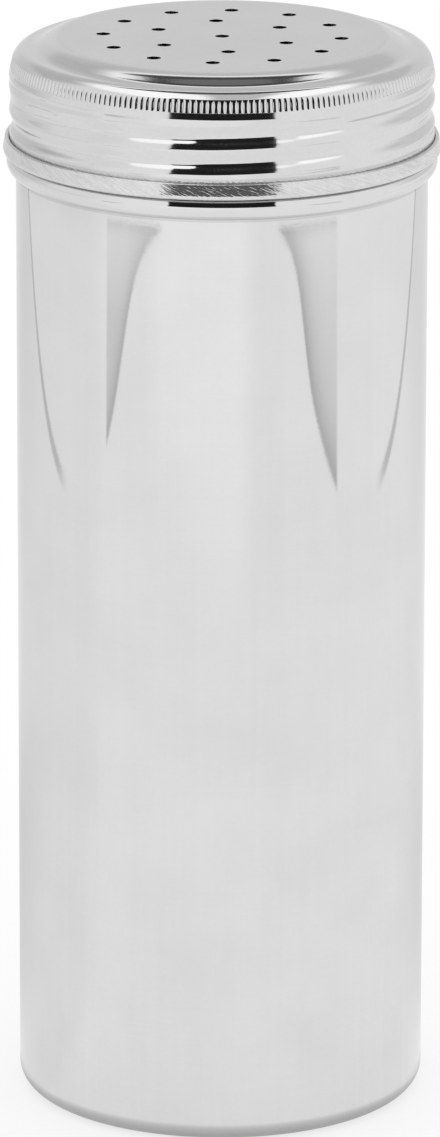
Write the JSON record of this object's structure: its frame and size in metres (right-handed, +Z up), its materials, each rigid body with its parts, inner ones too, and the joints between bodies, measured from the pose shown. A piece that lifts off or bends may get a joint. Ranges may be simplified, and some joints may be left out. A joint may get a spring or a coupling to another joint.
{
  "type": "spice shaker",
  "caption": "Tall cylindrical steel spice shaker with a screw-on perforated lid, a knurled grip, rolled threads and a hemmed edge that seats on a stop bead.",
  "frame": {"origin": "centre of the ring that the can stands on, at its lowest level", "axes": "+Z up along the can's axis; a crest of the thread crosses its reference height on the -Y side"},
  "size_m": [0.0748, 0.0748, 0.1875],
  "materials": {
    "can_steel": "stainless steel, satin-polished round the can",
    "lid_steel": "stainless steel, bright polished"
  },
  "bodies": {
    "can": {"can_base": "can_steel", "can_wall": "can_steel", "stop_bead": "can_steel", "can_neck": "can_steel", "mouth_rim": "can_steel"},
    "lid_edge": {"lid_hem": "lid_steel"},
    "lid": {"lid_top": "lid_steel", "knurl_band": "lid_steel", "lid_skirt": "lid_steel"}
  },
  "joints": [
    {"name": "lid_rise", "type": "slide", "parent": "can", "child": "lid_edge", "axis": [0, 0, 1], "range_m": [0, 0.00968]},
    {"name": "lid_turn", "type": "hinge", "parent": "lid_edge", "child": "lid", "pos_m": [0, 0, 0.176], "axis": [0, 0, 1], "range_deg": [0, 810]}
  ],
  "couplings": [
    {"joint": "lid_rise", "follows": "lid_turn", "m_per_rad": 0.00068437}
  ]
}
